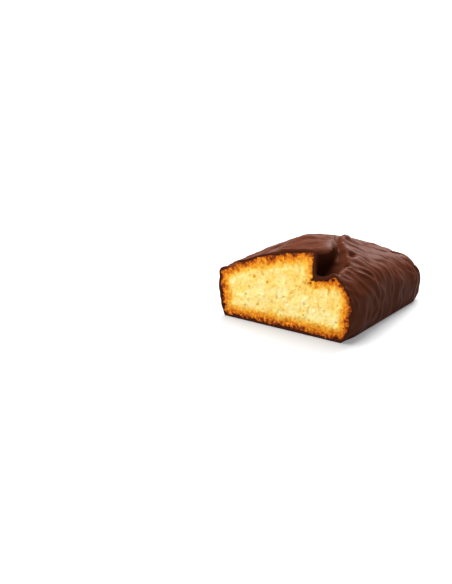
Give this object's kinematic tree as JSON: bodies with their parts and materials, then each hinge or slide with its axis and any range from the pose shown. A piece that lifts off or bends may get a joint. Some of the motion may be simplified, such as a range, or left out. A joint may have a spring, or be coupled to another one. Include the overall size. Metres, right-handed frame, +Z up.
{
  "type": "chocolate-coated loaf cake",
  "caption": "Half of a small chocolate-coated loaf cake with a cracked top, cut across to show its yellow sponge. It lies on its flat base.",
  "frame": {"origin": "middle of the box round the part's footprint, on the surface that it lies on", "axes": "+X across the loaf towards the crack's side, +Y from the cut face to the far end, +Z up"},
  "size_m": [0.0472, 0.05, 0.027],
  "materials": {
    "chocolate_coating": "satin milk chocolate coating",
    "sponge": "cut crumb of yellow sponge with a browned crust"
  },
  "bodies": {
    "root": {"chocolate_coating": "chocolate_coating", "sponge": "sponge"}
  },
  "joints": []
}
